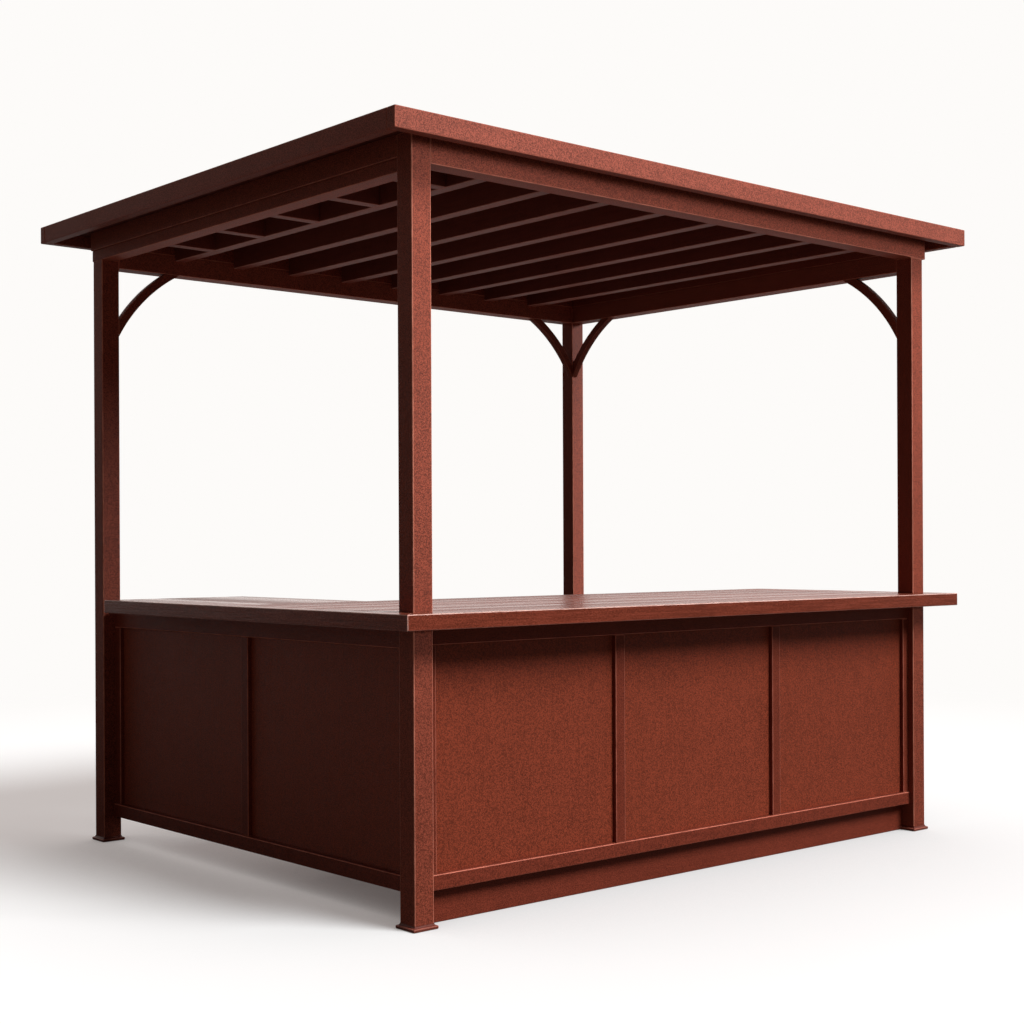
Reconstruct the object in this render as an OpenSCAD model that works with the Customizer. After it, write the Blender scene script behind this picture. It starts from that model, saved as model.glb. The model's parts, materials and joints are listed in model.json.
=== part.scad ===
// Garden bar pavilion: four posts, a flat roof on ring beams and rafters,
// panelled front and left sides, and an L-shaped bar top that passes round the posts.
// Origin: on the ground under the middle of the roof. +X right, +Y to the back, +Z up.

/* [Posts] */
// Width across the outer faces of the posts, left to right
frame_w = 3000; // [2400:10:3600]
// Depth across the outer faces of the posts, front to back
frame_d = 2380; // [2300:10:3000]
// Side of the square posts, and thickness of the beams that line up with them
post_s = 85; // [70:1:120]
// Thickness of the steel plate under each post
plate_t = 12; // [6:1:20]
// Distance the plate stands out past the post all round
plate_lip = 12; // [6:1:30]

/* [Roof edge] */
// Height of the top of the roof edge above the ground
roof_top = 2790; // [2500:10:3200]
// Distance the roof stands out past the posts at the front
roof_over_front = 145; // [100:5:260]
// Distance the roof stands out past the posts at the back
roof_over_back = 160; // [100:5:260]
// Distance the roof stands out past the posts on the left
roof_over_left = 180; // [100:5:260]
// Distance the roof stands out past the posts on the right
roof_over_right = 130; // [100:5:260]
// Height of the fascia board
fascia_h = 75; // [60:1:120]
// Thickness of the fascia board
fascia_t = 45; // [25:1:60]
// Thickness of the roof deck
deck_t = 20; // [12:1:30]
// Distance from the top of the fascia down to the top of the deck
deck_drop = 5; // [0:1:20]

/* [Beams] */
// Height of the front beam
front_beam_h = 105; // [90:1:140]
// Height of the upper beam on the left side
left_header_h = 81; // [60:1:100]
// Height of the lower beam on the left side
left_beam_h = 49; // [30:1:80]
// Set-back of the left side's lower beam from the outer face of the posts
left_beam_inset = 8; // [2:1:20]
// Height of the upper beam on the back and right sides
rear_header_h = 75; // [60:1:90]
// Height of the lower beam on the back and right sides
rear_beam_h = 90; // [60:1:120]
// Distance a lapped beam runs on past the post that carries it
beam_past = 24; // [0:1:60]

/* [Rafters] */
// Number of rafters
rafter_n = 8; // [4:1:12]
// Width of a rafter
rafter_w = 54; // [40:1:85]
// Depth of a rafter
rafter_h = 100; // [80:1:105]
// Number of short cross pieces in the first bay on the left
noggin_n = 5; // [3:1:6]
// Width of a cross piece
noggin_w = 50; // [35:1:70]
// Distance from the front beam to the middle of the first cross piece
noggin_first = 215; // [60:5:320]
// Distance from the middle of the last cross piece to the back beam
noggin_last = 335; // [60:5:360]

/* [Braces] */
// Reach of an arched brace along the beam and down the post
brace_reach = 310; // [220:5:420]
// Depth of the brace, across its curve
brace_depth = 38; // [28:1:60]
// Thickness of the brace
brace_t = 36; // [25:1:60]
// Rise of the brace's curve above a straight line
brace_rise = 32; // [15:1:50]

/* [Bar top] */
// Height of the top of the bar
bar_h = 1100; // [950:5:1200]
// Thickness of the bar top
bar_t = 56; // [40:1:70]
// Distance the bar top stands out past the posts
bar_over = 110; // [60:5:140]
// Depth of the front run, from its outer edge to its inner edge
bar_front_depth = 1200; // [900:10:1300]
// Depth of the left run, from its outer edge to its inner edge
bar_left_depth = 700; // [500:10:900]
// Length of the left run's end that stops short of the back left post
bar_stop = 225; // [100:5:300]
// Gap between the bar top and a post that passes through it
bar_gap = 1; // [0.5:0.5:3]

/* [Front panels] */
// Set-back of the front stiles from the outer face of the posts
front_set = 30; // [20:1:34]
// Height of the front top rail
front_top_rail_h = 61; // [45:1:90]
// Height of the front bottom rail
front_bottom_rail_h = 55; // [45:1:90]
// Height of the front bottom rail's underside above the ground
front_rail_z = 124; // [90:1:160]
// Width of the stiles at the ends of the front
front_end_stile_w = 36; // [30:1:70]
// Number of panels in the front
front_panel_n = 3; // [2:1:4]
// Thickness of the kick board behind the front bottom rail
plinth_t = 18; // [12:1:22]

/* [Left panels] */
// Set-back of the left stiles from the outer face of the posts
left_set = 56; // [50:1:60]
// Height of the left top rail
left_top_rail_h = 76; // [45:1:90]
// Height of the left bottom rail
left_bottom_rail_h = 58; // [45:1:90]
// Height of the left bottom rail's underside above the ground
left_rail_z = 110; // [80:1:160]
// Width of the stiles at the ends of the left side
left_end_stile_w = 50; // [30:1:70]
// Number of panels in the left side
left_panel_n = 2; // [1:1:3]

/* [Panel frames] */
// Width of the stiles between two panels
mid_stile_w = 50; // [40:1:80]
// Thickness of the stiles and top rails
stile_t = 36; // [30:1:40]
// Distance a bottom rail stands out in front of the stiles
rail_proud = 7; // [3:1:12]
// Set-back of a panel from the face of the stiles
panel_set = 18; // [8:1:20]
// Thickness of a panel
panel_t = 9; // [6:1:10]

/* [Bar supports] */
// Side of the square legs under the bar's inner edge
leg_s = 60; // [45:1:80]
// Set-back of the legs from the bar's inner edges
leg_set = 30; // [20:1:80]
// Height of the bearers under the bar
bearer_h = 70; // [50:1:110]
// Thickness of the bearers
bearer_t = 45; // [25:1:60]
// Number of bearers under the front run
bearer_n = 3; // [2:1:5]

/* [Hidden] */
$fn = 360;

// Outer faces of the posts. The middle of the roof is over the origin.
left = (roof_over_left - roof_over_right - frame_w) / 2;
right = left + frame_w;
front = (roof_over_front - roof_over_back - frame_d) / 2;
back = front + frame_d;
// Inner faces of the posts.
left_in = left + post_s;
right_in = right - post_s;
front_in = front + post_s;
back_in = back - post_s;

// Outer faces of the roof edge.
roof_left = left - roof_over_left;
roof_right = right + roof_over_right;
roof_front = front - roof_over_front;
roof_back = back + roof_over_back;

// Roof levels, worked down from the top.
deck_z = roof_top - deck_drop - deck_t;
front_beam_z = deck_z - front_beam_h;
left_header_z = deck_z - left_header_h;
left_beam_z = left_header_z - left_beam_h;
rear_header_z = deck_z - rear_header_h;
rear_beam_z = rear_header_z - rear_beam_h;
rafter_z = deck_z - rafter_h;
rafter_pitch = (right_in - left_in) / (rafter_n + 1);
first_rafter_face = left_in + rafter_pitch - rafter_w / 2;
noggin_pitch = (back_in - front_in - noggin_first - noggin_last) / (noggin_n - 1);

// Bar levels and inner edges.
bar_z = bar_h - bar_t;
bar_left = left - bar_over;
bar_right = right + bar_over;
bar_front = front - bar_over;
bar_front_inner = bar_front + bar_front_depth;
bar_left_inner = bar_left + bar_left_depth;
bar_left_end = back_in - bar_stop;

// Faces of the panel frames.
front_face = front + front_set;
left_face = left + left_set;
front_top_rail_z = bar_z - front_top_rail_h;
left_top_rail_z = bar_z - left_top_rail_h;
front_stile_z = front_rail_z + front_bottom_rail_h;
left_stile_z = left_rail_z + left_bottom_rail_h;
front_clear_w = right_in - left_in - 2 * front_end_stile_w - (front_panel_n - 1) * mid_stile_w;
front_panel_w = front_clear_w / front_panel_n;
left_clear_w = back_in - front_in - 2 * left_end_stile_w - (left_panel_n - 1) * mid_stile_w;
left_panel_w = left_clear_w / left_panel_n;

// Middles of the legs under the bar's inner edges.
bearer_z = bar_z - bearer_h;
front_leg_y = bar_front_inner - leg_set - leg_s / 2;
left_leg_x = bar_left_inner - leg_set - leg_s / 2;
right_leg_x = right_in - leg_s / 2;
left_leg_y = bar_left_end - leg_set - leg_s / 2;
front_leg_pitch = (right_leg_x - left_leg_x) / (bearer_n - 1);

stain = "#8a4634";
stain_dark = "#5b2d24";
steel = "#4a3430";

// A box given by its lowest and highest corners.
module block(low, high) {
    translate(low)
        cube([high[0] - low[0], high[1] - low[1], high[2] - low[2]]);
}

// ---- Posts and plates ----

module post(x, y, top) {
    color(stain)
        block([x, y, plate_t], [x + post_s, y + post_s, top]);
}

module base_plate(x, y) {
    plate_s = post_s + 2 * plate_lip;
    translate([x - plate_lip, y - plate_lip, 0])
        cube([plate_s, plate_s, plate_t]);
}

module base_plates() {
    color(steel)
        for (x = [left, right_in], y = [front, back_in])
            base_plate(x, y);
}

// ---- Beams ----

// Butts against the left post and runs over the top of the right one.
module front_beam() {
    color(stain)
        block([left_in, front, front_beam_z], [right + beam_past, front_in, deck_z]);
}

// Runs from behind the front post over the top of the back one.
module left_beam() {
    color(stain)
        block([left + left_beam_inset, front_in, left_beam_z], [left_in, back + beam_past, left_header_z]);
}

// Runs from behind the front post, which stands up to the roof deck, over the top of the back one.
module left_header() {
    color(stain)
        block([left, front_in, left_header_z], [left_in, back + beam_past, deck_z]);
}

module back_beam() {
    color(stain)
        block([left_in, back_in, rear_beam_z], [right_in, back, rear_header_z]);
}

module back_header() {
    color(stain)
        block([left_in, back_in, rear_header_z], [right_in, back, deck_z]);
}

module right_beam() {
    color(stain)
        block([right_in, front_in, rear_beam_z], [right, back_in, rear_header_z]);
}

// Runs over the top of the back right post.
module right_header() {
    color(stain)
        block([right_in, front_in, rear_header_z], [right, back + beam_past, deck_z]);
}

// ---- Roof ----

// Rafter i, counted from 1 on the left.
module rafter(i) {
    middle = left_in + i * rafter_pitch;
    color(stain_dark)
        block([middle - rafter_w / 2, front_in, rafter_z], [middle + rafter_w / 2, back_in, deck_z]);
}

module noggins() {
    color(stain_dark)
        for (i = [0 : noggin_n - 1]) {
            y = front_in + noggin_first + i * noggin_pitch - noggin_w / 2;
            block([left_in, y, rafter_z], [first_rafter_face, y + noggin_w, deck_z]);
        }
}

module roof_deck() {
    color(stain_dark)
        block([roof_left + fascia_t, roof_front + fascia_t, deck_z],
              [roof_right - fascia_t, roof_back - fascia_t, deck_z + deck_t]);
}

// The front and back boards run the whole width.
module fascia_across(y) {
    color(stain)
        block([roof_left, y, roof_top - fascia_h], [roof_right, y + fascia_t, roof_top]);
}

// The side boards fit between them.
module fascia_along(x) {
    color(stain)
        block([x, roof_front + fascia_t, roof_top - fascia_h], [x + fascia_t, roof_back - fascia_t, roof_top]);
}

// ---- Arched braces ----

// Drawn in the corner of a post face and a beam's underside: +X along the beam, -Z down the post.
module arched_brace() {
    half_chord = brace_reach / sqrt(2);
    radius = (half_chord * half_chord + brace_rise * brace_rise) / (2 * brace_rise);
    centre = brace_reach / 2 + (radius - brace_rise) / sqrt(2);
    limit = brace_reach + 2 * brace_depth;
    color(stain)
        intersection() {
            translate([0, 0, -limit])
                cube([limit, brace_t, limit]);
            translate([centre, brace_t, -centre])
                rotate([90, 0, 0])
                    difference() {
                        cylinder(h = brace_t, r = radius + brace_depth);
                        translate([0, 0, -1])
                            cylinder(h = brace_t + 2, r = radius);
                    }
        }
}

// ---- Bar top ----

module post_hole(x, y) {
    block([x - bar_gap, y - bar_gap, bar_z - 1], [x + post_s + bar_gap, y + post_s + bar_gap, bar_h + 1]);
}

module bar_top_front() {
    color(stain)
        difference() {
            block([bar_left, bar_front, bar_z], [bar_right, bar_front_inner, bar_h]);
            post_hole(left, front);
            post_hole(right_in, front);
        }
}

module bar_top_left() {
    color(stain)
        block([bar_left, bar_front_inner, bar_z], [bar_left_inner, bar_left_end, bar_h]);
}

// ---- Front side ----

module front_top_rail() {
    color(stain_dark)
        block([left_in, front_face, front_top_rail_z], [right_in, front_face + stile_t, bar_z]);
}

module front_bottom_rail() {
    face = front_face - rail_proud;
    color(stain_dark)
        block([left_in, face, front_rail_z], [right_in, front_face + stile_t, front_stile_z]);
}

// Left edge of front panel i, counted from 0.
function front_panel_x(i) = left_in + front_end_stile_w + i * (front_panel_w + mid_stile_w);

module front_stile(x, w) {
    block([x, front_face, front_stile_z], [x + w, front_face + stile_t, front_top_rail_z]);
}

module front_stiles() {
    color(stain_dark) {
        front_stile(left_in, front_end_stile_w);
        front_stile(right_in - front_end_stile_w, front_end_stile_w);
        for (i = [1 : front_panel_n - 1])
            front_stile(front_panel_x(i) - mid_stile_w, mid_stile_w);
    }
}

module front_panels() {
    y = front_face + panel_set;
    color(stain)
        for (i = [0 : front_panel_n - 1]) {
            x = front_panel_x(i);
            block([x, y, front_stile_z], [x + front_panel_w, y + panel_t, front_top_rail_z]);
        }
}

// Stands on the ground behind the bottom rail, notched over the front post plates.
module plinth() {
    y = front_face + stile_t;
    color(stain_dark)
        difference() {
            block([left_in, y, 0], [right_in, y + plinth_t, front_stile_z]);
            base_plate(left, front);
            base_plate(right_in, front);
        }
}

// ---- Left side ----

module left_top_rail() {
    color(stain_dark)
        block([left_face, front_in, left_top_rail_z], [left_face + stile_t, back_in, bar_z]);
}

module left_bottom_rail() {
    face = left_face - rail_proud;
    color(stain_dark)
        block([face, front_in, left_rail_z], [left_face + stile_t, back_in, left_stile_z]);
}

// Front edge of left panel i, counted from 0.
function left_panel_y(i) = front_in + left_end_stile_w + i * (left_panel_w + mid_stile_w);

module left_stile(y, w) {
    block([left_face, y, left_stile_z], [left_face + stile_t, y + w, left_top_rail_z]);
}

module left_stiles() {
    color(stain_dark) {
        left_stile(front_in, left_end_stile_w);
        left_stile(back_in - left_end_stile_w, left_end_stile_w);
        if (left_panel_n > 1)
            for (i = [1 : left_panel_n - 1])
                left_stile(left_panel_y(i) - mid_stile_w, mid_stile_w);
    }
}

module left_panels() {
    x = left_face + panel_set;
    color(stain)
        for (i = [0 : left_panel_n - 1]) {
            y = left_panel_y(i);
            block([x, y, left_stile_z], [x + panel_t, y + left_panel_w, left_top_rail_z]);
        }
}

// ---- Supports under the bar's inner edges ----

module leg(x, y) {
    block([x - leg_s / 2, y - leg_s / 2, 0], [x + leg_s / 2, y + leg_s / 2, bearer_z]);
}

module bar_legs() {
    color(stain_dark) {
        for (i = [0 : bearer_n - 1])
            leg(left_leg_x + i * front_leg_pitch, front_leg_y);
        leg(left_leg_x, left_leg_y);
    }
}

// Those of the front run go from the top rail to above a leg, and that of the left run likewise.
module bar_bearers() {
    front_end = front_leg_y + leg_s / 2;
    left_end = left_leg_x + leg_s / 2;
    color(stain_dark) {
        for (i = [0 : bearer_n - 1]) {
            x = left_leg_x + i * front_leg_pitch - bearer_t / 2;
            block([x, front_face + stile_t, bearer_z], [x + bearer_t, front_end, bar_z]);
        }
        y = left_leg_y - bearer_t / 2;
        block([left_face + stile_t, y, bearer_z], [left_end, y + bearer_t, bar_z]);
    }
}

// ---- The parts ----

post(left, front, deck_z);  // post_front_left
post(right_in, front, front_beam_z);  // post_front_right
post(left, back_in, left_beam_z);  // post_back_left
post(right_in, back_in, rear_header_z);  // post_back_right
base_plates();
front_beam();
left_beam();
left_header();
back_beam();
back_header();
right_beam();
right_header();
for (i = [1 : rafter_n])
    rafter(i);
noggins();
roof_deck();
fascia_across(roof_front);  // fascia_front
fascia_across(roof_back - fascia_t);  // fascia_back
fascia_along(roof_left);  // fascia_left
fascia_along(roof_right - fascia_t);  // fascia_right
translate([left_in, back_in, rear_beam_z]) arched_brace();  // brace_back_left
translate([right_in, back_in, rear_beam_z]) mirror([1, 0, 0]) arched_brace();  // brace_back_right
translate([right_in, back_in, rear_beam_z]) rotate([0, 0, -90]) arched_brace();  // brace_right_back
translate([right_in, front_in, rear_beam_z]) mirror([0, 1, 0]) rotate([0, 0, -90]) arched_brace();  // brace_right_front
bar_top_front();
bar_top_left();
front_top_rail();
front_bottom_rail();
front_stiles();
front_panels();
plinth();
left_top_rail();
left_bottom_rail();
left_stiles();
left_panels();
bar_bearers();
bar_legs();
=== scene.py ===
"""Looks of the garden bar pavilion: eased timbers, boarded bar top and roof, and their stained finishes."""

import json
import math
import random

import bmesh
import bpy
from mathutils import Matrix, Vector

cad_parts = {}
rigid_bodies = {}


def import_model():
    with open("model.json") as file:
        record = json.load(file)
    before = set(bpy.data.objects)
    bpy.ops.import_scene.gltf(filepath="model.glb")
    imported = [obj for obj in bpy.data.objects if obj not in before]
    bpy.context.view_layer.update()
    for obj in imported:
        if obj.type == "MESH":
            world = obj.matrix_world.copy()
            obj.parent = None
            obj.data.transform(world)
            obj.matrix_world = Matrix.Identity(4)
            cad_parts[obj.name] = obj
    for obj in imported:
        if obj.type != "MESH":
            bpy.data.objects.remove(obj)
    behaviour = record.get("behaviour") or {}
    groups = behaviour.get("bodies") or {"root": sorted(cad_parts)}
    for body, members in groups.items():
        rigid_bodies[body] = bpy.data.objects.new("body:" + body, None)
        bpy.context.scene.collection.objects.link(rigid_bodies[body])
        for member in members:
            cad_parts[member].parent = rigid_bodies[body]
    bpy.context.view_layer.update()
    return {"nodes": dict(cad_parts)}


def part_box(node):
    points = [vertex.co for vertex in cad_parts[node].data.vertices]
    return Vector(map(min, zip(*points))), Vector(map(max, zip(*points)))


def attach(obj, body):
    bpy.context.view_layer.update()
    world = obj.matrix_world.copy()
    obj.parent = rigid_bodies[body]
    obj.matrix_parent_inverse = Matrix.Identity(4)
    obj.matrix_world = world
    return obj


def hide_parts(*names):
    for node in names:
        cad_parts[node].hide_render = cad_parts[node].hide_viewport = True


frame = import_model()
X, Y, Z = range(3)

# ---------------------------------------------------------------- the camera
VIEW_BEARING = math.radians(48.92)
VIEW_DISTANCE = 5.522
VIEW_SIDE = 0.340
VIEW_HEIGHT = 1.330
VIEW_ROLL = math.radians(0.25)
VIEW_LENS = 56.41
VIEW_SHIFT_UP = 0.0329
VIEW_REACH = 200


def make_camera():
    """A level camera in front of the left front post's outer corner."""
    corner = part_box("post_front_left")[0]
    ahead = Vector((math.cos(VIEW_BEARING), math.sin(VIEW_BEARING), 0))
    aside = Vector((ahead.y, -ahead.x, 0))
    place = corner + VIEW_SIDE * aside - VIEW_DISTANCE * ahead
    place.z = VIEW_HEIGHT
    data = bpy.data.cameras.new("camera")
    data.lens = VIEW_LENS
    data.shift_y = VIEW_SHIFT_UP
    data.clip_end = VIEW_REACH
    camera = bpy.data.objects.new("camera", data)
    bearing = Matrix.Rotation(VIEW_BEARING - math.pi / 2, 4, "Z")
    level = Matrix.Rotation(math.pi / 2, 4, "X")
    roll = Matrix.Rotation(-VIEW_ROLL, 4, "Z")
    camera.matrix_world = Matrix.Translation(place) @ bearing @ level @ roll
    bpy.context.scene.collection.objects.link(camera)
    bpy.context.scene.camera = camera


# ---------------------------------------------------------------- shader sums
OBJECT_PLACE = 3
MIXED_COLOUR = 2
FACTOR = 2
NUMBER = 1


class Value:
    """A number on a node's socket. Sums with it add Math nodes to its recipe."""

    def __init__(self, recipe, socket):
        self.recipe = recipe
        self.socket = socket

    def sum(self, operation, *others):
        """A Math node on this value and the others, in that order."""
        inputs = {0: self}
        for place, other in enumerate(others, 1):
            inputs[place] = other
        return self.recipe.node("ShaderNodeMath", {"operation": operation}, inputs)

    def __add__(self, other):
        return self.sum("ADD", other)

    def __mul__(self, other):
        return self.sum("MULTIPLY", other)

    def __sub__(self, other):
        return self.sum("SUBTRACT", other)

    def __rsub__(self, other):
        return self.recipe.node("ShaderNodeMath", {"operation": "SUBTRACT"}, {0: other, 1: self})

    def clamped(self):
        return self.recipe.node("ShaderNodeClamp", {}, {0: self})

    def ramp(self, low, high):
        """0 below low, 1 above high, and smooth between them."""
        settings = {"interpolation_type": "SMOOTHSTEP"}
        return self.recipe.node("ShaderNodeMapRange", settings, {0: self, 1: low, 2: high, 3: 0, 4: 1})

    __radd__ = __add__
    __rmul__ = __mul__


class Recipe:
    """A node tree being written: every node comes from node()."""

    def __init__(self, tree):
        self.tree = tree
        tree.nodes.clear()

    def node(self, kind, settings=None, inputs=None, output=0):
        """Adds a node: its settings first, then the values or links of its sockets."""
        made = self.tree.nodes.new(kind)
        for name, setting in (settings or {}).items():
            setattr(made, name, setting)
        for name, value in (inputs or {}).items():
            if isinstance(value, Value):
                self.tree.links.new(value.socket, made.inputs[name])
            else:
                made.inputs[name].default_value = value
        return Value(self, made.outputs[output]) if made.outputs else None

    def mixed(self, share, low, high):
        """Two colours mixed by share."""
        settings = {"data_type": "RGBA"}
        return self.node("ShaderNodeMix", settings, {0: share, 6: low, 7: high}, output=MIXED_COLOUR)

    def place(self, scale):
        """The object's own place, stretched by scale on each axis."""
        own = self.node("ShaderNodeTexCoord", output=OBJECT_PLACE)
        return self.node("ShaderNodeMapping", {}, {"Vector": own, "Scale": scale})

    def noise(self, scale, detail, roughness, stretch=(1, 1, 1)):
        """Noise with so many lumps to the metre, on the object's own place."""
        inputs = {"Vector": self.place(stretch), "Scale": scale, "Detail": detail, "Roughness": roughness}
        return self.node("ShaderNodeTexNoise", {}, inputs)


def linear(red, green, blue):
    """A colour written in 0 to 255 steps, as the renderer wants it."""
    shares = [c / 255 for c in (red, green, blue)]
    return tuple(s / 12.92 if s <= 0.04045 else ((s + 0.055) / 1.055) ** 2.4 for s in shares) + (1,)


# ---------------------------------------------------------------- finishes
GRAIN_STRETCH = 0.045
DARK_STAIN = 0.55
LIGHT_STAIN = 1.45
# pattern: (lumps to the metre, detail, roughness)
SPECKLE = (250, 2, 0.70)
MOTTLE = (16, 3, 0.55)
CLOUD = (2.2, 2, 0.50)
GRAIN = (95, 4, 0.60)
MOTTLE_DEPTH = 0.09
CLOUD_DEPTH = 0.10
RELIEF_STRENGTH = 0.30
RELIEF_DEPTH = 0.0012
FINISHES = {
    # slot: (colour, speckle, grain, colour of worn and highlit edges, roughness, sheen level); the edge
    # colour is partly real wear and partly a painted highlight
    "stain": ((136, 65, 48), 1.55, 0.14, (226, 142, 118), 0.55, 0.15),
    "edge_stain": ((142, 73, 58), 1.55, 0.14, (192, 112, 92), 0.55, 0.15),
    "roof_stain": ((112, 52, 40), 0.50, 0.20, (176, 118, 104), 0.50, 0.14),
    "bar_stain": ((130, 60, 43), 1.40, 0.55, (252, 200, 186), 0.22, 0.20),
    "panel_stain": ((136, 58, 36), 1.35, 0.16, (190, 104, 82), 0.55, 0.28),
    "frame_stain": ((122, 53, 37), 1.20, 0.14, (218, 128, 106), 0.50, 0.18),
    "plate": ((108, 48, 36), 0.30, 0.00, (196, 116, 98), 0.45, 0.30),
}
made_finishes = {}


def finish(slot, grain_axis):
    """The stained finish of a slot, with its grain along one axis."""
    key = (slot, grain_axis)
    if key in made_finishes:
        return made_finishes[key]
    colour, speckle_depth, grain_depth, worn_and_highlit, roughness, level = FINISHES[slot]
    material = bpy.data.materials.new(f"{slot}_{'xyz'[grain_axis]}")
    material.use_nodes = True
    recipe = Recipe(material.node_tree)
    along = [1.0, 1.0, 1.0]
    along[grain_axis] = GRAIN_STRETCH
    speckle = recipe.noise(*SPECKLE).ramp(0.30, 0.70)
    mottle = recipe.noise(*MOTTLE).ramp(0.30, 0.70)
    cloud = recipe.noise(*CLOUD).ramp(0.28, 0.72)
    grain = recipe.noise(*GRAIN, along).ramp(0.28, 0.72)
    # the tone attribute: a random board tone, and on the roof boards painted shade as well
    tone = recipe.node("ShaderNodeAttribute", {"attribute_name": "tone"}, output=FACTOR)
    shade = (speckle - 0.5) * speckle_depth + (grain - 0.5) * grain_depth + (mottle - 0.5) * MOTTLE_DEPTH
    shade = shade + (cloud - 0.5) * CLOUD_DEPTH + tone
    base = linear(*colour)
    dark = tuple(c * DARK_STAIN for c in base[:3]) + (1,)
    light = tuple(c * LIGHT_STAIN for c in base[:3]) + (1,)
    stained = recipe.mixed((shade + 0.5).clamped(), dark, light)
    arris = recipe.node("ShaderNodeAttribute", {"attribute_name": "arris"}, output=FACTOR)
    # the arrises take the edge colour: partly real wear, partly a highlight painted along the edges
    rubbed_and_highlit = (arris * (0.7 + 0.6 * mottle)).clamped()
    painted = recipe.mixed(rubbed_and_highlit, stained, linear(*worn_and_highlit))
    relief = speckle * 0.6 + grain * (0.4 + grain_depth)
    bump_inputs = {"Strength": RELIEF_STRENGTH, "Distance": RELIEF_DEPTH, "Height": relief}
    bump = recipe.node("ShaderNodeBump", {}, bump_inputs)
    rough = roughness + (speckle - 0.5) * 0.12 + (grain - 0.5) * grain_depth * 0.3 - tone
    surface = recipe.node(
        "ShaderNodeBsdfPrincipled",
        {},
        {
            "Base Color": painted,
            "Roughness": rough,
            "Specular IOR Level": level,
            "Normal": bump,
        },
    )
    recipe.node("ShaderNodeOutputMaterial", {}, {"Surface": surface})
    made_finishes[key] = material
    return material


# ---------------------------------------------------------------- mesh helpers
SAME_PLACE = 1e-5
FLAT = math.radians(0.2)
SHARP = math.radians(30)
FACING_DOWN = -0.2


def solid_copy(node):
    """The node's solid with its doubles merged and its flat faces whole."""
    shape = bmesh.new()
    shape.from_mesh(frame["nodes"][node].data)
    bmesh.ops.remove_doubles(shape, verts=shape.verts, dist=SAME_PLACE)
    bmesh.ops.dissolve_limit(shape, angle_limit=FLAT, verts=shape.verts, edges=shape.edges)
    return shape


def block(low, high):
    """A plain block, as a timber is before it is cut and eased."""
    shape = bmesh.new()
    bmesh.ops.create_cube(shape, size=1.0)
    bmesh.ops.scale(shape, vec=high - low, verts=shape.verts)
    bmesh.ops.translate(shape, vec=(low + high) / 2, verts=shape.verts)
    return shape


def trim(shape, at, away):
    """Saws the shape through at a plane and drops the side that away points to."""
    whole = shape.verts[:] + shape.edges[:] + shape.faces[:]
    cut = bmesh.ops.bisect_plane(shape, geom=whole, plane_co=at, plane_no=away, clear_outer=True)
    rim = [e for e in cut["geom_cut"] if isinstance(e, bmesh.types.BMEdge)]
    bmesh.ops.holes_fill(shape, edges=rim, sides=0)
    bmesh.ops.recalc_face_normals(shape, faces=shape.faces)


def ease(shape, size, wear_and_highlight, wear_and_highlight_under=None, rounds=2):
    """Rounds the arrises and marks how worn they are and how bright a highlight is painted on them,
    underneath as well.
    """
    arrises = [e for e in shape.edges if len(e.link_faces) == 2 and e.calc_face_angle(0) > SHARP]
    mark = shape.faces.layers.float.get("arris") or shape.faces.layers.float.new("arris")
    made = bmesh.ops.bevel(
        shape,
        geom=arrises,
        offset=size,
        offset_type="OFFSET",
        segments=rounds,
        profile=0.5,
        affect="EDGES",
        clamp_overlap=True,
    )
    for face in made["faces"]:
        face.normal_update()
        # arrises facing down get their own share of wear and painted highlight
        under = wear_and_highlight_under is not None and face.normal.z < FACING_DOWN
        face[mark] = wear_and_highlight_under if under else wear_and_highlight


def add_to(joined, part, tone=0.0):
    """Adds an eased board to the others, a little darker or lighter than they are."""
    mark = part.faces.layers.float.get("tone") or part.faces.layers.float.new("tone")
    for face in part.faces:
        face[mark] = tone
    mesh = bpy.data.meshes.new("board")
    part.to_mesh(mesh)
    part.free()
    joined.from_mesh(mesh)
    bpy.data.meshes.remove(mesh)


def settled(made, slot, *nodes):
    """Rides the piece on the pavilion and hides what it stands for. The slot is not used."""
    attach(made, "root")
    if nodes:
        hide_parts(*nodes)
    return made


def piece(name, shape, slot, grain_axis, *nodes):
    """Makes the shape a piece of the pavilion that stands for the nodes."""
    mesh = bpy.data.meshes.new(name)
    shape.to_mesh(mesh)
    shape.free()
    made = bpy.data.objects.new(name, mesh)
    bpy.context.scene.collection.objects.link(made)
    mesh.materials.append(finish(slot, grain_axis))
    return settled(made, slot, *nodes)


def eased_member(node, slot, grain_axis, size, wear_and_highlight, wear_and_highlight_under=None):
    """A member as the frame has it, with its arrises eased."""
    shape = solid_copy(node)
    ease(shape, size, wear_and_highlight, wear_and_highlight_under)
    return piece(node + "_timber", shape, slot, grain_axis, node)


def sawn_boards(joined, blank, across):
    """Saws what blank() makes into boards side by side, and adds them to the others."""
    whole = blank()
    places = [v.co[across] for v in whole.verts]
    whole.free()
    start, end = min(places), max(places)
    count = round((end - start) / BAR_BOARD)
    step = (end - start) / count
    normal = Vector([1.0 if axis == across else 0.0 for axis in range(3)])
    for board in range(count):
        part = blank()
        if board > 0:
            trim(part, normal * (start + board * step), -normal)
        if board < count - 1:
            trim(part, normal * (start + (board + 1) * step), normal)
        ease(part, SEAM, BOARD_WEAR_AND_HIGHLIGHT)
        add_to(joined, part, tones.uniform(-BOARD_TONE, BOARD_TONE))


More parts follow.
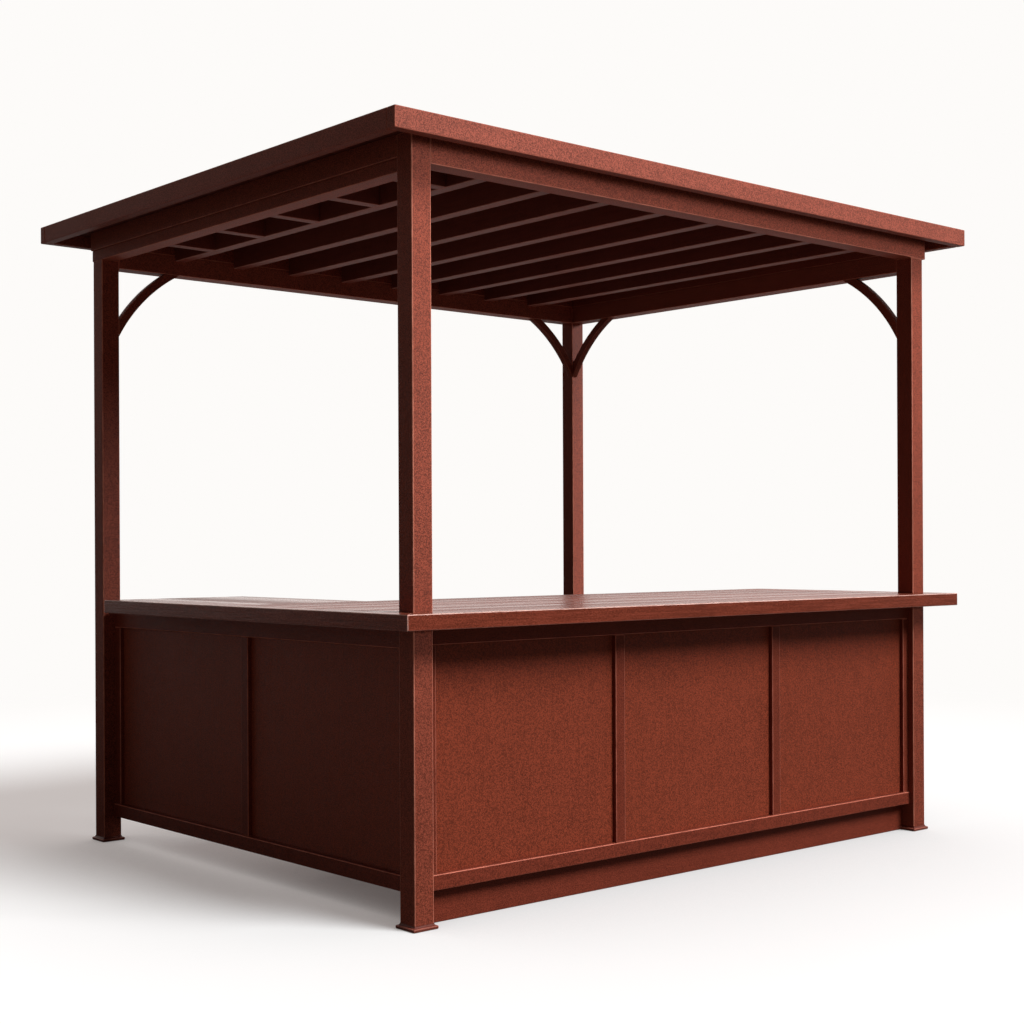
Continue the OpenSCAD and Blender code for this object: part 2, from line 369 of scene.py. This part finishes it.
# ---------------------------------------------------------------- what repeats
def layout(name, sizes):
    """An empty geometry tree with a named input for each size."""
    tree = bpy.data.node_groups.new(name, "GeometryNodeTree")
    for size, value in sizes.items():
        kind = "NodeSocketInt" if isinstance(value, int) else "NodeSocketFloat"
        tree.interface.new_socket(size, in_out="INPUT", socket_type=kind)
    tree.interface.new_socket("Finish", in_out="INPUT", socket_type="NodeSocketMaterial")
    tree.interface.new_socket("Pieces", in_out="OUTPUT", socket_type="NodeSocketGeometry")
    return Recipe(tree)


def size_of(recipe, name):
    """The named input of a geometry tree."""
    return recipe.node("NodeGroupInput", output=name)


def laid(recipe, instances):
    """Ends a geometry tree: real mesh, flat faces and the finish that its input names."""
    real = recipe.node("GeometryNodeRealizeInstances", {}, {"Geometry": instances})
    flat = recipe.node("GeometryNodeSetShadeSmooth", {}, {"Geometry": real, "Shade Smooth": False})
    inputs = {"Geometry": flat, "Material": size_of(recipe, "Finish")}
    painted = recipe.node("GeometryNodeSetMaterial", {}, inputs)
    recipe.node("NodeGroupOutput", {}, {"Pieces": painted})


def repeated(name, recipe, sizes, slot, grain_axis, *nodes):
    """Runs a geometry tree with its sizes and keeps the plain mesh that it makes."""
    made = bpy.data.objects.new(name, bpy.data.meshes.new(name + "_start"))
    bpy.context.scene.collection.objects.link(made)
    modifier = made.modifiers.new(name, "NODES")
    modifier.node_group = recipe.tree
    given = dict(sizes, Finish=finish(slot, grain_axis))
    for socket in recipe.tree.interface.items_tree:
        if socket.in_out == "INPUT":
            modifier[socket.identifier] = given[socket.name]
    ready = made.evaluated_get(bpy.context.evaluated_depsgraph_get())
    mesh = bpy.data.meshes.new_from_object(ready)
    made.modifiers.remove(modifier)
    mesh.name = name
    made.data = mesh
    return settled(made, slot, *nodes)


def lay_roof_boards():
    """Boards from end to end of the roof, one beside another from the front to the back."""
    low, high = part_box("roof_deck")
    count = round((high.y - low.y) / DECK_BOARD)
    pitch = (high.y - low.y) / count
    sizes = {
        "Boards": count,
        "Pitch": pitch,
        "Width": pitch - DECK_GAP,
        "Thickness": high.z - low.z,
        "Rounding": DECK_ROUNDING,
        "Left end": low.x,
        "Right end": high.x,
        "First": low.y + pitch / 2,
        "Level": (low.z + high.z) / 2,
        "Seed": TONE_SEED,
    }
    recipe = layout("roof_boards", sizes)
    section_inputs = {"Width": size_of(recipe, "Width"), "Height": size_of(recipe, "Thickness")}
    section = recipe.node("GeometryNodeCurvePrimitiveQuadrilateral", {}, section_inputs)
    rounding = {"Curve": section, "Radius": size_of(recipe, "Rounding"), "Count": 2}
    section = recipe.node("GeometryNodeFilletCurve", {"mode": "POLY"}, rounding)
    start = recipe.node("ShaderNodeCombineXYZ", {}, {"X": size_of(recipe, "Left end")})
    end = recipe.node("ShaderNodeCombineXYZ", {}, {"X": size_of(recipe, "Right end")})
    run = recipe.node("GeometryNodeCurvePrimitiveLine", {}, {"Start": start, "End": end})
    run = recipe.node("GeometryNodeSetCurveNormal", {"mode": "Z_UP"}, {"Curve": run})
    board_inputs = {"Curve": run, "Profile Curve": section, "Fill Caps": True}
    board = recipe.node("GeometryNodeCurveToMesh", {}, board_inputs)
    first_inputs = {"Y": size_of(recipe, "First"), "Z": size_of(recipe, "Level")}
    first = recipe.node("ShaderNodeCombineXYZ", {}, first_inputs)
    step = recipe.node("ShaderNodeCombineXYZ", {}, {"Y": size_of(recipe, "Pitch")})
    line_inputs = {"Count": size_of(recipe, "Boards"), "Start Location": first, "Offset": step}
    line = recipe.node("GeometryNodeMeshLine", {}, line_inputs)
    boards = recipe.node("GeometryNodeInstanceOnPoints", {}, {"Points": line, "Instance": board})
    # each roof board's tone is random around the deck's painted shade
    tone_inputs = {2: DECK_PAINTED_SHADE - BOARD_TONE, 3: DECK_PAINTED_SHADE + BOARD_TONE, "Seed": size_of(recipe, "Seed")}
    tone = recipe.node("FunctionNodeRandomValue", {"data_type": "FLOAT"}, tone_inputs, output=NUMBER)
    mark = {"Geometry": boards, "Name": "tone", "Value": tone}
    settings = {"data_type": "FLOAT", "domain": "INSTANCE"}
    laid(recipe, recipe.node("GeometryNodeStoreNamedAttribute", settings, mark))
    repeated("roof_boards", recipe, sizes, "roof_stain", X, "roof_deck")


def drive_deck_screws():
    """Two screws through every roof board into every rafter."""
    low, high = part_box("roof_deck")
    boards = round((high.y - low.y) / DECK_BOARD)
    pitch = (high.y - low.y) / boards
    first_rafter = sum(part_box("rafter_1"), Vector()) / 2
    last_rafter = sum(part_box(f"rafter_{RAFTERS}"), Vector()) / 2
    sizes = {
        "Rows": boards,
        "Row pitch": pitch,
        "First row": low.y + pitch * (0.5 - SCREW_SPREAD / 2),
        "Pair spread": pitch * SCREW_SPREAD,
        "Rafters": RAFTERS,
        "Rafter pitch": (last_rafter.x - first_rafter.x) / (RAFTERS - 1),
        "First rafter": first_rafter.x,
        "Level": high.z,
        "Head radius": SCREW_RADIUS,
        "Head height": SCREW_HEIGHT,
    }
    recipe = layout("deck_screws", sizes)
    head_inputs = {
        "Vertices": SCREW_SIDES,
        "Radius Top": size_of(recipe, "Head radius") * SCREW_TAPER,
        "Radius Bottom": size_of(recipe, "Head radius"),
        "Depth": size_of(recipe, "Head height"),
    }
    head = recipe.node("GeometryNodeMeshCone", {}, head_inputs)
    first = recipe.node("ShaderNodeCombineXYZ", {}, {"X": size_of(recipe, "First rafter")})
    step = recipe.node("ShaderNodeCombineXYZ", {}, {"X": size_of(recipe, "Rafter pitch")})
    across = {"Count": size_of(recipe, "Rafters"), "Start Location": first, "Offset": step}
    row = recipe.node("GeometryNodeMeshLine", {}, across)
    row = recipe.node("GeometryNodeInstanceOnPoints", {}, {"Points": row, "Instance": head})
    pair = recipe.node("ShaderNodeCombineXYZ", {}, {"Y": size_of(recipe, "Pair spread")})
    pair = recipe.node("GeometryNodeMeshLine", {}, {"Count": 2, "Start Location": (0, 0, 0), "Offset": pair})
    row = recipe.node("GeometryNodeInstanceOnPoints", {}, {"Points": pair, "Instance": row})
    place = {"Y": size_of(recipe, "First row"), "Z": size_of(recipe, "Level")}
    first = recipe.node("ShaderNodeCombineXYZ", {}, place)
    step = recipe.node("ShaderNodeCombineXYZ", {}, {"Y": size_of(recipe, "Row pitch")})
    back = {"Count": size_of(recipe, "Rows"), "Start Location": first, "Offset": step}
    rows = recipe.node("GeometryNodeMeshLine", {}, back)
    laid(recipe, recipe.node("GeometryNodeInstanceOnPoints", {}, {"Points": rows, "Instance": row}))
    repeated("deck_screws", recipe, sizes, "plate", X)


# ---------------------------------------------------------------- the pavilion
POST_EASE = 0.004
BEAM_EASE = 0.003
ROOF_EASE = 0.004
RAIL_EASE = 0.003
PANEL_EASE = 0.001
PLATE_EASE = 0.004
SEAM = 0.0014
# how worn the board seams' arrises are, with a highlight painted on them
BOARD_WEAR_AND_HIGHLIGHT = 0.10
BOARD_TONE = 0.14
# how much darker the roof boards are made: painted shade between the rafters under the roof
DECK_PAINTED_SHADE = -0.30
TONE_SEED = 7
BAR_BOARD = 0.093
BAR_EDGING = 0.080
DECK_BOARD = 0.112
DECK_GAP = 0.003
DECK_ROUNDING = 0.003
RAFTERS = 8
SCREW_SPREAD = 0.45
SCREW_RADIUS = 0.0048
SCREW_HEIGHT = 0.0012
SCREW_TAPER = 0.7
SCREW_SIDES = 10
COVE_SIZE = 0.008
COVE_STEPS = 5
CORNERS = ("front_left", "front_right", "back_left", "back_right")
# how worn the arrises are, and how bright the highlight painted on them is, from 0 to 1: (all round,) or
# (above, underneath)
POST_WEAR_AND_HIGHLIGHT = (0.62,)
BEAM_WEAR_AND_HIGHLIGHT = (0.30, 0.45)
SIDE_BEAM_WEAR_AND_HIGHLIGHT = (0.08, 0.35)
BRACE_WEAR_AND_HIGHLIGHT = (0.30,)
PLATE_WEAR_AND_HIGHLIGHT = 0.55
RAFTER_WEAR_AND_HIGHLIGHT = (0.30, 0.55)
NOGGIN_WEAR_AND_HIGHLIGHT = (0.25, 0.45)
FASCIA_WEAR_AND_HIGHLIGHT = (0.35, 0.25)
LEFT_FASCIA_WEAR_AND_HIGHLIGHT = (0.35, 0.10)
EDGING_WEAR_AND_HIGHLIGHT = (0.95, 0.12)
LEFT_EDGING_WEAR_AND_HIGHLIGHT = (0.80, 0.08)
HIDDEN_WEAR_AND_HIGHLIGHT = (0.20,)
TOP_RAIL_WEAR_AND_HIGHLIGHT = (0.65,)
BOTTOM_RAIL_WEAR_AND_HIGHLIGHT = (0.95, 0.20)
STILE_WEAR_AND_HIGHLIGHT = (0.70,)
PANEL_WEAR_AND_HIGHLIGHT = (0.10,)
tones = random.Random(TONE_SEED)


def make_frame_members():
    """The posts, the ring of beams on them and the arched braces."""
    for corner in CORNERS:
        eased_member("post_" + corner, "stain", Z, POST_EASE, *POST_WEAR_AND_HIGHLIGHT)
    for node in ("front_beam", "back_beam", "back_header"):
        eased_member(node, "stain", X, BEAM_EASE, *BEAM_WEAR_AND_HIGHLIGHT)
    for node in ("left_beam", "left_header", "right_beam", "right_header"):
        eased_member(node, "stain", Y, BEAM_EASE, *SIDE_BEAM_WEAR_AND_HIGHLIGHT)
    for node in ("brace_back_left", "brace_back_right"):
        eased_member(node, "stain", X, BEAM_EASE, *BRACE_WEAR_AND_HIGHLIGHT)
    for node in ("brace_right_back", "brace_right_front"):
        eased_member(node, "stain", Y, BEAM_EASE, *BRACE_WEAR_AND_HIGHLIGHT)


def make_feet():
    """The plates, and a small cove that flares each post out to its plate."""
    shape = solid_copy("base_plates")
    ease(shape, PLATE_EASE, PLATE_WEAR_AND_HIGHLIGHT, rounds=3)
    piece("base_plates_steel", shape, "plate", X, "base_plates")
    for corner in CORNERS:
        low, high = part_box("post_" + corner)
        shape = bmesh.new()
        rings = []
        for step in range(COVE_STEPS + 1):
            turn = math.pi / 2 * step / COVE_STEPS
            out = COVE_SIZE * (1 - math.sin(turn))
            up = COVE_SIZE * (1 - math.cos(turn))
            corners = (
                (low.x - out, low.y - out),
                (high.x + out, low.y - out),
                (high.x + out, high.y + out),
                (low.x - out, high.y + out),
            )
            rings.append([shape.verts.new((x, y, low.z + up)) for x, y in corners])
        for under, over in zip(rings, rings[1:]):
            for side in range(len(under)):
                after = (side + 1) % len(under)
                shape.faces.new((under[side], under[after], over[after], over[side]))
        shape.faces.new(rings[0][::-1])
        shape.faces.new(rings[-1])
        bmesh.ops.recalc_face_normals(shape, faces=shape.faces)
        piece(f"foot_cove_{corner}", shape, "plate", Z)


def make_roof():
    """The rafters, the board round the roof's edge, and the boards and screws on top."""
    for number in range(1, RAFTERS + 1):
        eased_member(f"rafter_{number}", "roof_stain", Y, BEAM_EASE, *RAFTER_WEAR_AND_HIGHLIGHT)
    eased_member("noggins", "roof_stain", X, BEAM_EASE, *NOGGIN_WEAR_AND_HIGHLIGHT)
    for side, axis in (("front", X), ("back", X), ("left", Y), ("right", Y)):
        # the left fascia, on the shaded side, gets less painted highlight on its arrises underneath
        wear_and_highlight = LEFT_FASCIA_WEAR_AND_HIGHLIGHT if side == "left" else FASCIA_WEAR_AND_HIGHLIGHT
        eased_member("fascia_" + side, "edge_stain", axis, ROOF_EASE, *wear_and_highlight)
    lay_roof_boards()
    drive_deck_screws()


def make_bar():
    """Boards along each run, inside an edging that is mitred at the front left corner."""
    front_low, front_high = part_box("bar_top_front")
    left_low, left_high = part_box("bar_top_left")
    inner = front_low + Vector((BAR_EDGING, BAR_EDGING, 0))
    mitre = Vector((1, -1, 0))

    def front_blank():
        shape = solid_copy("bar_top_front")
        trim(shape, inner, Vector((-1, 0, 0)))
        trim(shape, inner, Vector((0, -1, 0)))
        return shape

    def left_blank():
        shape = solid_copy("bar_top_left")
        trim(shape, inner, Vector((-1, 0, 0)))
        return shape

    front_run = bmesh.new()
    sawn_boards(front_run, front_blank, Y)
    edging = block(front_low, Vector((front_high.x, inner.y, front_high.z)))
    trim(edging, front_low, -mitre)
    ease(edging, RAIL_EASE, *EDGING_WEAR_AND_HIGHLIGHT)
    add_to(front_run, edging)
    piece("bar_boards_front", front_run, "bar_stain", X, "bar_top_front")

    left_run = bmesh.new()
    sawn_boards(left_run, left_blank, X)
    piece("bar_boards_left", left_run, "bar_stain", Y, "bar_top_left")
    edging = block(front_low, Vector((inner.x, left_high.y, left_high.z)))
    trim(edging, front_low, mitre)
    ease(edging, RAIL_EASE, *LEFT_EDGING_WEAR_AND_HIGHLIGHT)
    piece("bar_edging_left", edging, "bar_stain", Y)

    eased_member("bar_bearers", "frame_stain", X, RAIL_EASE, *HIDDEN_WEAR_AND_HIGHLIGHT)
    eased_member("bar_legs", "frame_stain", Z, RAIL_EASE, *HIDDEN_WEAR_AND_HIGHLIGHT)


def make_sides():
    """The panelled front and left sides below the bar."""
    for side, axis in (("front", X), ("left", Y)):
        eased_member(side + "_top_rail", "frame_stain", axis, RAIL_EASE, *TOP_RAIL_WEAR_AND_HIGHLIGHT)
        eased_member(side + "_bottom_rail", "frame_stain", axis, RAIL_EASE, *BOTTOM_RAIL_WEAR_AND_HIGHLIGHT)
        eased_member(side + "_stiles", "frame_stain", Z, RAIL_EASE, *STILE_WEAR_AND_HIGHLIGHT)
        eased_member(side + "_panels", "panel_stain", Z, PANEL_EASE, *PANEL_WEAR_AND_HIGHLIGHT)
    eased_member("plinth", "frame_stain", X, RAIL_EASE, *HIDDEN_WEAR_AND_HIGHLIGHT)


# ---------------------------------------------------------------- floor, world and lamps
PALE = linear(253, 251, 249)
FLOOR_RADIUS = 60
FLOOR_SIDES = 96
FLOOR_DROP = 0.0005
FLOOR_SEEN = (0.63, 0.66, 0.67, 1)
FLOOR_UNSEEN = (0.150, 0.134, 0.122, 1)
FLOOR_FADE = (3.5, 8.0)
FLOOR_MIRRORED = (2.5, 9.0)
GLOW_COLOUR = (0.98, 0.90, 0.87, 1)
# how far from the pavilion the painted contact shade on the floor reaches
GLOW_REACH = 1.6
GLOW_SAMPLES = 8
FLOOR_GLOW = 0.53
AMBIENT = (0.082, 0.071, 0.067, 1)
BACKDROP = (0.98, 0.87, 0.83, 1)
BACKDROP_FADE = (-0.1, 0.8)
SUN_DISTANCE = 10
EVERY_PIECE = ("",)
KEY_SIDE = math.radians(22)
KEY_HEIGHT = math.radians(48)
KEY_STRENGTH = 3.3
KEY_SOFTNESS = math.radians(27)
EAVES_SIDE = math.radians(18)
EAVES_DISTANCE = 7.0
EAVES_HEIGHT = math.radians(1)
EAVES_AIM = Vector((0, 0, 2.55))
EAVES_POWER = 28
EAVES_SPREAD = math.radians(28)
EAVES_WIDTH = 6.0
EAVES_DEPTH = 2.5
BACK_SIDE = math.radians(50)
BACK_HEIGHT = math.radians(15)
BACK_STRENGTH = 1.9
REAR_SIDE = math.radians(135)
REAR_HEIGHT = math.radians(30)
REAR_STRENGTH = 1.1
SOFFIT_LEVEL = 1.2
SOFFIT_AIM = 3
SOFFIT_POWER = 4.5
SOFFIT_SPREAD = math.radians(40)
SOFFIT_WIDTH = 3.0
SOFFIT_DEPTH = 2.3


def ray(recipe, kind):
    """1 for one kind of ray: Camera, Glossy or Transmission."""
    return recipe.node("ShaderNodeLightPath", output=f"Is {kind} Ray")


def backdrop_share(recipe, direction, low, high):
    """How far a direction or a place lies towards the backdrop behind the pavilion."""
    behind = (math.cos(VIEW_BEARING), math.sin(VIEW_BEARING), 0)
    inputs = {0: direction, 1: behind}
    share = recipe.node("ShaderNodeVectorMath", {"operation": "DOT_PRODUCT"}, inputs, output=NUMBER)
    return share.ramp(low, high)


def make_floor():
    """A pale floor that keeps the pavilion's shadow, darkens near it with painted contact shade, and fades
    into the backdrop.
    """
    shape = bmesh.new()
    bmesh.ops.create_circle(shape, cap_ends=True, segments=FLOOR_SIDES, radius=FLOOR_RADIUS)
    mesh = bpy.data.meshes.new("floor")
    shape.to_mesh(mesh)
    shape.free()
    floor = bpy.data.objects.new("floor", mesh)
    floor.location.z = -FLOOR_DROP
    bpy.context.scene.collection.objects.link(floor)
    material = bpy.data.materials.new("pale_floor")
    material.use_nodes = True
    recipe = Recipe(material.node_tree)
    own = recipe.node("ShaderNodeTexCoord", output=OBJECT_PLACE)
    far = recipe.node("ShaderNodeVectorMath", {"operation": "LENGTH"}, {0: own}, output=NUMBER)
    camera_ray = ray(recipe, "Camera")
    mirrored = ray(recipe, "Glossy") * backdrop_share(recipe, own, *FLOOR_MIRRORED) * 0.5
    backdrop = (far.ramp(*FLOOR_FADE) * camera_ray + mirrored + ray(recipe, "Transmission")).clamped()
    unseen = recipe.node("ShaderNodeBsdfDiffuse", {}, {"Color": FLOOR_UNSEEN})
    seen = recipe.node("ShaderNodeBsdfDiffuse", {}, {"Color": FLOOR_SEEN})
    lit = recipe.node("ShaderNodeMixShader", {}, {0: camera_ray, 1: unseen, 2: seen})
    pale = recipe.node("ShaderNodeEmission", {}, {"Color": PALE, "Strength": 1.0})
    # the camera-only glow dims where ambient occlusion finds the pavilion close: painted contact shade on
    # the floor
    nearby = {"Distance": GLOW_REACH}
    openness = recipe.node("ShaderNodeAmbientOcclusion", {"samples": GLOW_SAMPLES}, nearby, output=NUMBER)
    glow = recipe.node("ShaderNodeEmission", {}, {"Color": GLOW_COLOUR, "Strength": FLOOR_GLOW})
    glow_with_painted_shade = recipe.node("ShaderNodeMixShader", {}, {0: openness * camera_ray, 2: glow})
    near = recipe.node("ShaderNodeAddShader", {}, {0: lit, 1: glow_with_painted_shade})
    mixed = recipe.node("ShaderNodeMixShader", {}, {0: backdrop, 1: near, 2: pale})
    recipe.node("ShaderNodeOutputMaterial", {}, {"Surface": mixed})
    mesh.materials.append(material)


def make_world():
    """Dim warm air all round, with the pale backdrop where it is seen or mirrored."""
    world = bpy.data.worlds.new("studio")
    world.use_nodes = True
    bpy.context.scene.world = world
    recipe = Recipe(world.node_tree)
    direction = recipe.node("ShaderNodeTexCoord")
    mirrored = ray(recipe, "Glossy") * backdrop_share(recipe, direction, *BACKDROP_FADE)
    around = recipe.mixed(mirrored, AMBIENT, BACKDROP)
    seen = (ray(recipe, "Camera") + ray(recipe, "Transmission")).clamped()
    around = recipe.mixed(seen, around, PALE)
    surround = recipe.node("ShaderNodeBackground", {}, {"Color": around, "Strength": 1.0})
    recipe.node("ShaderNodeOutputWorld", {}, {"Surface": surround})


def toward_front(side, height):
    """The direction to a lamp that stands to the right of straight ahead of the front."""
    return Vector((
        math.sin(side) * math.cos(height),
        -math.cos(side) * math.cos(height),
        math.sin(height),
    ))


def lamp(name, kind, place, aim, settings, lit=()):
    """A lamp that lights everything, or only the pieces whose names start as lit says."""
    data = bpy.data.lights.new(name, kind)
    for key, value in settings.items():
        setattr(data, key, value)
    made = bpy.data.objects.new(name, data)
    made.location = place
    made.rotation_euler = (aim - place).to_track_quat("-Z", "Y").to_euler()
    made.visible_camera = False
    bpy.context.scene.collection.objects.link(made)
    if lit:
        reached = bpy.data.collections.new(name + "_reach")
        for thing in bpy.data.objects:
            if thing.type == "MESH" and thing.name != "floor" and thing.name.startswith(lit):
                reached.objects.link(thing)
        made.light_linking.receiver_collection = reached
    return made


def sun(name, side, height, strength, softness, lit=()):
    """A far lamp that stands in the direction that side and height give."""
    settings = {"energy": strength, "angle": softness}
    return lamp(name, "SUN", toward_front(side, height) * SUN_DISTANCE, Vector((0, 0, 0)), settings, lit)


def make_lamps():
    """A high key, and weaker lamps for what the roof keeps in shade and for the back."""
    sun("key_lamp", KEY_SIDE, KEY_HEIGHT, KEY_STRENGTH, KEY_SOFTNESS)
    settings = {
        "energy": EAVES_POWER,
        "shape": "RECTANGLE",
        "size": EAVES_WIDTH,
        "size_y": EAVES_DEPTH,
        "spread": EAVES_SPREAD,
    }
    place = EAVES_AIM + toward_front(EAVES_SIDE, EAVES_HEIGHT) * EAVES_DISTANCE
    lamp("eaves_lamp", "AREA", place, EAVES_AIM, settings, ("fascia_", "front_beam", "post_front"))
    sun("back_lamp", BACK_SIDE, BACK_HEIGHT, BACK_STRENGTH, KEY_SOFTNESS / 2, ("post_back",))
    rear = sun("rear_lamp", REAR_SIDE, REAR_HEIGHT, REAR_STRENGTH, KEY_SOFTNESS, EVERY_PIECE)
    rear.visible_glossy = False
    settings = {
        "energy": SOFFIT_POWER,
        "shape": "RECTANGLE",
        "size": SOFFIT_WIDTH,
        "size_y": SOFFIT_DEPTH,
        "spread": SOFFIT_SPREAD,
    }
    place = Vector((0, 0, SOFFIT_LEVEL))
    aim = Vector((0, 0, SOFFIT_AIM))
    lit = ("rafter_", "noggins", "left_beam", "front_beam", "back_beam", "right_beam")
    lamp("soffit_lamp", "AREA", place, aim, settings, lit)


make_camera()
make_frame_members()
make_feet()
make_roof()
make_bar()
make_sides()
make_floor()
make_world()
make_lamps()
bpy.context.scene.view_settings.view_transform = "Standard"
